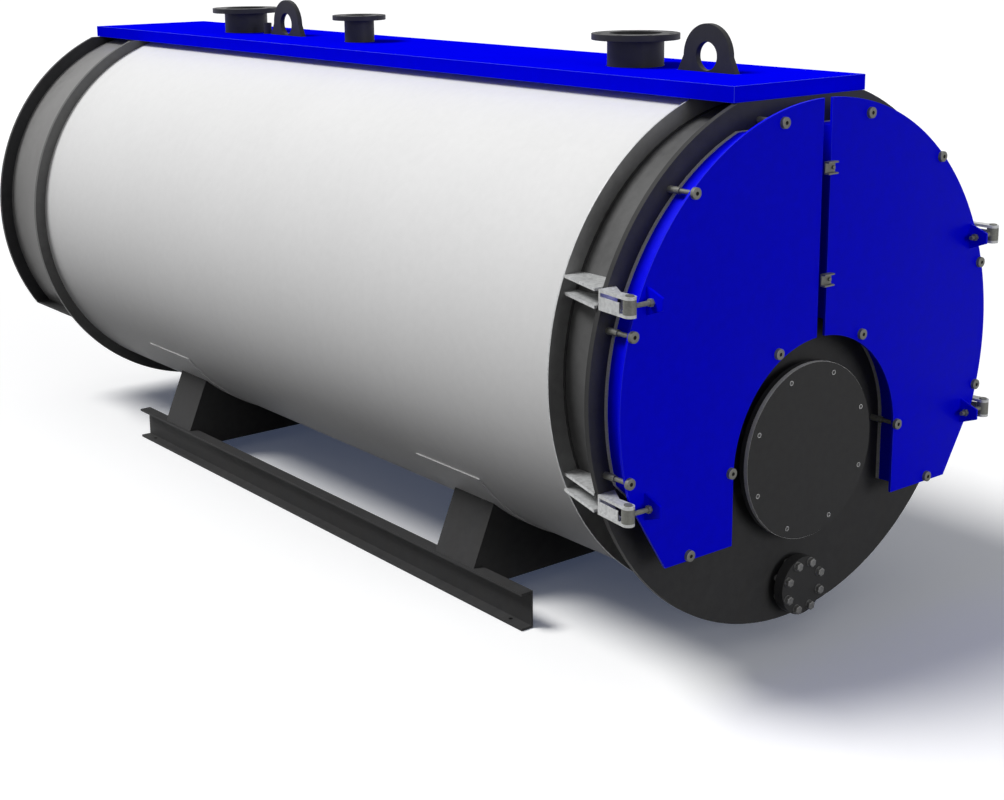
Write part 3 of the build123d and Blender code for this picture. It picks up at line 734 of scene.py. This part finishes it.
head_spots = bolt_circle(DRAIN_CIRCLE, 8, DRAIN_FACE, DRAIN_HEIGHT)
drain_heads = copies(hexagon_bolt(0.029, 0.013, 0.0175), head_spots, "drain_bolt_heads")
settle(drain_heads, "boiler", dull_steel)

nut = join([hexagon(0.027, NUT_HEIGHT, 0, 0.5), thread_end(0.008, 0.006, -NUT_HEIGHT)], "nut")
face_rear(nut)
nut_spots = bolt_circle(DRAIN_CIRCLE, 8, DRAIN_BACK, DRAIN_HEIGHT)
drain_nuts = copies(nut, nut_spots, "drain_bolt_nuts")
settle(drain_nuts, "boiler", dull_steel)

# %% [markdown]
# Bright edges at the front, as painted highlights.
# The blank plate over the burner opening has eight open holes. A thin bush of light steel lines each hole, a painted
# highlight for the holes' lit edges. The plate's rim is near white, a painted glint, and a light grey ring at the cut
# edge of the ring that closes the cladding is a painted highlight on that edge. All of them are made alike: a ring is
# drawn as a circle, extruded to the rear, and its wall given thickness with Solidify.

# %% Burner plate bushes, its rim and the front ring's edge
BURNER_HEIGHT = -352.0
BURNER_CIRCLE = 583
BUSH_FACE = -324.6
RIM_FACE = -323.0
RING_FACE = 0.3


def bush(radius, length, wall, sides):
    bpy.ops.mesh.primitive_circle_add(vertices=sides, radius=radius, fill_type="NOTHING", rotation=(pi / 2, 0, 0))
    ring = bpy.context.view_layer.objects.active
    apply_place()
    select_only(ring)
    bpy.ops.object.mode_set(mode="EDIT")
    bpy.ops.mesh.select_mode(type="EDGE")
    bpy.ops.mesh.select_all(action="SELECT")
    sink(length)
    bpy.ops.mesh.select_all(action="SELECT")
    bpy.ops.mesh.normals_make_consistent(inside=False)
    done()
    thick = ring.modifiers.new("wall", "SOLIDIFY")
    thick.thickness = wall
    thick.offset = -1
    bpy.ops.object.modifier_apply(modifier=thick.name)
    round_edges(ring, 0.3)
    return ring


# Light steel in the holes: a painted highlight for their lit edges.
holes = bolt_circle(BURNER_CIRCLE, 8, BUSH_FACE, BURNER_HEIGHT)
bushes = copies(bush(0.0088, 0.015, 0.0016, 28), holes, "burner_hole_bushes")
settle(bushes, "boiler", bright_steel_painted_highlight)

# The near-white rim is a painted glint.
rim = put(bush(0.3256, 0.0165, 0.0025, 160), place(0, RIM_FACE, BURNER_HEIGHT), "burner_plate_rim")
settle(rim, "boiler", ground_steel_painted_glint)

# A light grey ring at the front ring's cut edge: a painted highlight on that edge.
painted_ring_highlight = put(bush(0.9504, 0.006, 0.0008, 240), place(0, RING_FACE, 0), "front_ring_painted_highlight")
settle(painted_ring_highlight, "boiler", galvanised)

# %% [markdown]
# Tube ends behind the doors.
# When a door swings open it shows the ends of the smoke tubes, rolled into the front plate and standing a little proud
# of it. Each is a short ring with a shallow bore whose floor is near black: soot, and painted shade for the depth of
# the tube. They are laid out in staggered rows over the part of the plate that the door's lining covers, clear of the
# seal and of the burner opening.

# %% Smoke tube ends
TUBE_RADIUS = 0.038
TUBE_BORE = 0.0335
TUBE_PROUD = 0.005
TUBE_PITCH = 104.0
FIRST_COLUMN = 150
FIELD_RADIUS = 832
FIELD_DROP = 31
FIELD_FOOT, FIELD_TOP = -470, 745
BURNER_ROOM = 566


def tube_end():
    ring = front_rod(TUBE_RADIUS, TUBE_PROUD, 20)
    pick_front(ring)
    bpy.ops.mesh.inset(thickness=TUBE_RADIUS - TUBE_BORE)
    sink(TUBE_PROUD * 0.85)
    done()
    bpy.ops.object.shade_smooth_by_angle(angle=radians(35))
    return ring


def tube_spots():
    spots = []
    for row in range(-8, 12):
        z = row * TUBE_PITCH * 0.866
        shift = TUBE_PITCH / 2 if row % 2 else 0.0
        for column in range(12):
            x = FIRST_COLUMN + shift + column * TUBE_PITCH
            in_arc = hypot(x, z + FIELD_DROP) < FIELD_RADIUS
            off_burner = hypot(x, z - BURNER_HEIGHT) > BURNER_ROOM
            if in_arc and off_burner and FIELD_FOOT < z < FIELD_TOP:
                spots.append((x, z))
    return spots


mirrored = [place(sign * x, PLATE_FACE, z) for sign in (-1, 1) for x, z in tube_spots()]
tube_ends = copies(tube_end(), mirrored, "smoke_tube_ends")
settle(tube_ends, "boiler", dull_steel)
# The floor of each bore takes the near-black finish: soot, and painted shade for the depth of the tube.
tube_ends.data.materials.append(soot_and_painted_shade)
deep = place(0, PLATE_FACE - 2.0, 0).y
for face in tube_ends.data.polygons:
    if faces_front(face) and face.center.y > deep:
        face.material_index = 1
print(len(mirrored), "tube ends on the front plate")

# %% [markdown]
# Welds.
# The drum is welded all round to the front plate and to the ring that closes the cladding. A weld is a fillet with a
# ripple across it. A torus gives the ring, half sunk in the corner that it fills, and every other section is shrunk a
# little, which leaves the ripple of the runs.

# %% Weld beads
DRUM_RADIUS = 0.880
PLATE_BACK = -220
WELD_SECTIONS = 256
SECTION_CORNERS = 8
RIPPLE = 0.14


def weld_ring(y, bead, name, finish):
    bpy.ops.mesh.primitive_torus_add(
        major_segments=WELD_SECTIONS, minor_segments=SECTION_CORNERS, major_radius=DRUM_RADIUS, minor_radius=bead,
        rotation=(pi / 2, 0, 0),
    )
    ring = bpy.context.view_layer.objects.active
    apply_place()
    clear_selection(ring)
    for corner in ring.data.vertices:
        corner.select = (corner.index // SECTION_CORNERS) % 2 == 0
    bpy.ops.object.mode_set(mode="EDIT")
    bpy.ops.mesh.select_mode(type="VERT")
    bpy.ops.transform.shrink_fatten(value=-bead * RIPPLE)
    done()
    bpy.ops.object.shade_smooth()
    ring = put(ring, place(0, y, 0), name)
    settle(ring, "boiler", finish)


weld_ring(PLATE_BACK + 2, 0.007, "front_plate_weld", shell_paint)
weld_ring(-2, 0.006, "front_ring_weld", dark_paint)

# %% [markdown]
# Bolts on the rear cover and on the clips.
# The rear cover comes off for sweeping, so it is bolted round its curved edge and along its foot. The two small
# channels that bridge the doors are each held by one bolt. The same hexagon bolt is used, turned to face the rear for
# the cover.

# %% Rear cover bolts and clip bolts
COVER_FACE = 4643
COVER_RADIUS = 938
COVER_FOOT = -508
DECK_FOOT = 880
CLIP_MIDDLE = 26
CLIP_FACE = PANEL_FACE - 6
CLIP_HEIGHTS = (670, 277)

cover_spots = []
for degrees in range(-30, 211, 12):
    x, z = COVER_RADIUS * cos(radians(degrees)), COVER_RADIUS * sin(radians(degrees))
    if z < DECK_FOOT:
        cover_spots.append(place(x, COVER_FACE, z))
cover_spots += [place(x, COVER_FACE, COVER_FOOT) for x in range(-600, 601, 200)]
cover_bolt = hexagon_bolt(0.024, 0.010, 0.0145)
face_rear(cover_bolt)
cover_bolts = copies(cover_bolt, cover_spots, "rear_cover_bolts")
settle(cover_bolts, "boiler", dull_steel)

clip_spots = [place(CLIP_MIDDLE, CLIP_FACE, z) for z in CLIP_HEIGHTS]
clip_bolts = copies(hexagon(0.013, 0.006, 0, 0.3), clip_spots, "door_clip_bolts")
settle(clip_bolts, "right_door", oiled_steel)

# %% [markdown]
# Webs in the hinge brackets.
# Each hinge bracket is closed on its outer side by a web between the two cheeks, with a slot left open under the upper
# cheek. A cube is stretched to the web's size, its front end is moved outwards so that it follows the cheeks' taper,
# and its edges are rounded. It ends behind the pin, so the eye bolt can still turn.

# %% Hinge bracket webs
HINGE_HEIGHTS = (328, -359)
WEB_OUT = 939.5
WEB_MIDDLE = -299
WEB_DROP = 7
WEB_SIZE = (0.005, 0.102, 0.034)
WEB_TAPER = 0.0124


def bracket_web(sign):
    bpy.ops.mesh.primitive_cube_add(size=1, location=(0, 0, 0))
    web = bpy.context.view_layer.objects.active
    web.scale = WEB_SIZE
    apply_place()
    pick_faces(web, faces_front)
    bpy.ops.transform.translate(value=(sign * WEB_TAPER, 0, 0))
    done()
    round_edges(web, 0.8)
    return web


webs = []
for sign in (-1, 1):
    spots = [place(sign * WEB_OUT, WEB_MIDDLE, height - WEB_DROP) for height in HINGE_HEIGHTS]
    webs.append(copies(bracket_web(sign), spots, "webs"))
webs = join(webs, "hinge_bracket_webs")
settle(webs, "boiler", galvanised)

# %% [markdown]
# The floor.
# The boiler stands on a plain pale floor that runs out of the picture. For the camera, and in reflections, a little
# light of the floor's own lifts it to white and leaves the shadow; for the light that it throws back at the boiler it
# stays dark, so the underside of the drum falls away into shade. The Light Path node tells the two cases apart.

# %% Floor
FLOOR_SIZE = 160
FLOOR_DROP = 0.0005


def seen_rays(tree):
    """1 for the camera's rays, reflections and rays through glass, and 0 for light that falls on the boiler."""
    path = tree.nodes.new("ShaderNodeLightPath")
    seen = add_math(tree, "MAXIMUM", path.outputs["Is Camera Ray"], path.outputs["Is Glossy Ray"])
    return add_math(tree, "MAXIMUM", seen, path.outputs["Is Transmission Ray"])


def add_shader(tree, kind, **values):
    node = tree.nodes.new(kind)
    for label, value in values.items():
        node.inputs[label].default_value = value
    return node


bpy.ops.mesh.primitive_plane_add(size=FLOOR_SIZE, location=(0, 0, -FLOOR_DROP))
floor = bpy.context.view_layer.objects.active
floor.name = "floor"
floor_finish = bpy.data.materials.new("pale_floor")
floor_finish.use_nodes = True
tree = floor_finish.node_tree
tree.nodes.clear()
pale = add_shader(tree, "ShaderNodeBsdfDiffuse", Color=(1.12, 1.11, 1.08, 1))
lift = add_shader(tree, "ShaderNodeEmission", Color=(0.4, 0.55, 1.0, 1), Strength=0.07)
dim = add_shader(tree, "ShaderNodeBsdfDiffuse", Color=(0.03, 0.03, 0.032, 1))
white = tree.nodes.new("ShaderNodeAddShader")
tree.links.new(pale.outputs[0], white.inputs[0])
tree.links.new(lift.outputs[0], white.inputs[1])
either = tree.nodes.new("ShaderNodeMixShader")
tree.links.new(seen_rays(tree), either.inputs[0])
tree.links.new(dim.outputs[0], either.inputs[1])
tree.links.new(white.outputs[0], either.inputs[2])
out = tree.nodes.new("ShaderNodeOutputMaterial")
tree.links.new(either.outputs[0], out.inputs["Surface"])
floor.data.materials.append(floor_finish)
print("floor is", FLOOR_SIZE, "m wide")

# %% [markdown]
# The sky.
# An even sky gives a weak light from all sides, like the walls of a studio. Seen by the camera and in reflections it
# is plain white, so that the picture has a white ground without more light on the boiler.

# %% Sky
SKY_LIGHT = 0.22
SKY_SEEN = 1.0
world = bpy.data.worlds.new("studio")
bpy.context.scene.world = world
world.use_nodes = True
tree = world.node_tree
tree.nodes.clear()
sky = add_shader(tree, "ShaderNodeBackground", Color=(1, 1, 1, 1))
tree.links.new(add_range(tree, seen_rays(tree), 0, 1, SKY_LIGHT, SKY_SEEN), sky.inputs["Strength"])
out = tree.nodes.new("ShaderNodeOutputWorld")
tree.links.new(sky.outputs[0], out.inputs["Surface"])
print("sky lights the boiler at", SKY_LIGHT)

# %% [markdown]
# The lights.
# A broad key light comes from the upper left and a little behind, and a weak fill from straight ahead reaches the
# doors. Area lamps would fall off along a boiler of five metres, so both are suns with a wide angle, which light it
# evenly and still give soft shadows.

# %% Lights
def broad_light(name, level, spread, towards):
    lamp = bpy.data.lights.new(name, "SUN")
    lamp.energy = level * pi
    lamp.angle = radians(spread)
    holder = bpy.data.objects.new(name, lamp)
    bpy.context.scene.collection.objects.link(holder)
    holder.rotation_euler = Vector(towards).to_track_quat("Z", "Y").to_euler()


broad_light("key_light", level=0.82, spread=24, towards=(-0.46, 0.38, 0.80))
broad_light("front_fill", level=0.285, spread=30, towards=(0.05, -0.97, 0.2))
print("two lights set")

# %% [markdown]
# The camera.
# The picture was taken from the front left, a little above the top of the drum, looking along the boiler and down. The
# place, the turn and the lens were worked out from points that can be found both in the picture and on the boiler. The
# place is measured in radii of the front ring. The small vertical shift keeps the uprights nearly upright.

# %% Camera
PICTURE_WIDTH, PICTURE_HEIGHT = 1004, 800
FOCAL_PIXELS = 1636.0
MIDDLE_ROW = 300
RING_RADIUS = 0.950
stand = Vector((-4.546, -4.237, 1.567)) * RING_RADIUS + place(0, 0, 0)
yaw, pitch, roll = 0.668, 0.225, -0.010
ahead = Vector((sin(yaw) * cos(pitch), cos(yaw) * cos(pitch), -sin(pitch)))
right = Vector((cos(yaw), -sin(yaw), 0))
up = right.cross(ahead)
turned_right = right * cos(roll) + up * sin(roll)
turned_up = up * cos(roll) - right * sin(roll)
lens = bpy.data.cameras.new("portrait")
lens.sensor_fit = "HORIZONTAL"
lens.sensor_width = 36
lens.lens = FOCAL_PIXELS / PICTURE_WIDTH * lens.sensor_width
lens.shift_y = (MIDDLE_ROW - PICTURE_HEIGHT / 2) / PICTURE_WIDTH
lens.clip_end = 400
camera = bpy.data.objects.new("portrait", lens)
bpy.context.scene.collection.objects.link(camera)
turn = Matrix((turned_right, turned_up, -ahead)).transposed().to_4x4()
camera.matrix_world = Matrix.Translation(stand) @ turn
bpy.context.scene.camera = camera
bpy.context.scene.view_settings.view_transform = "Standard"
print("camera stands at", stand)

# %% [markdown]
# The end of the script.

# %% End
print("done")
